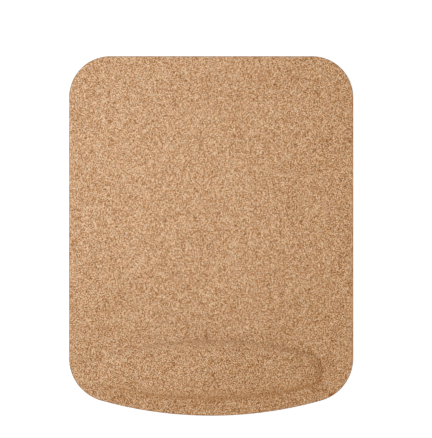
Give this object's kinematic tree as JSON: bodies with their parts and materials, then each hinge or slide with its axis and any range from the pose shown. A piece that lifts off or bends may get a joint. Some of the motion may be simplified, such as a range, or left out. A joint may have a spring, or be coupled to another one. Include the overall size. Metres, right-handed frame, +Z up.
{
  "type": "mouse pad with wrist rest",
  "caption": "Flat mouse pad with rounded corners, a cork face and a raised lens-shaped gel wrist rest along its bowed front edge, laminated on a foam base with a treaded rubber sole.",
  "frame": {"origin": "on the desk, under the middle of the pad's bounding box", "axes": "+Z up out of the cork face, +Y away from the user, from the wrist rest to the back edge, +X to the user's right"},
  "size_m": [0.2, 0.253, 0.0143],
  "materials": {
    "cork": "fine-grained agglomerated cork, sanded, matt",
    "cloth": "undyed woven backing cloth",
    "bond_film": "hot-melt glue film, cloudy",
    "pouch_film": "clear soft film",
    "gel": "soft clear gel",
    "foam": "fine-celled dark foam, matt",
    "sole": "black rubber with a moulded wave tread"
  },
  "bodies": {
    "root": {"grip_sole": "sole", "base_bond_film": "bond_film", "foam_base": "foam", "top_bond_film": "bond_film", "gel_pouch_lower_film": "pouch_film", "wrist_gel": "gel", "gel_pouch_upper_film": "pouch_film", "backing_cloth": "cloth", "cork_top_sheet": "cork"}
  },
  "joints": []
}
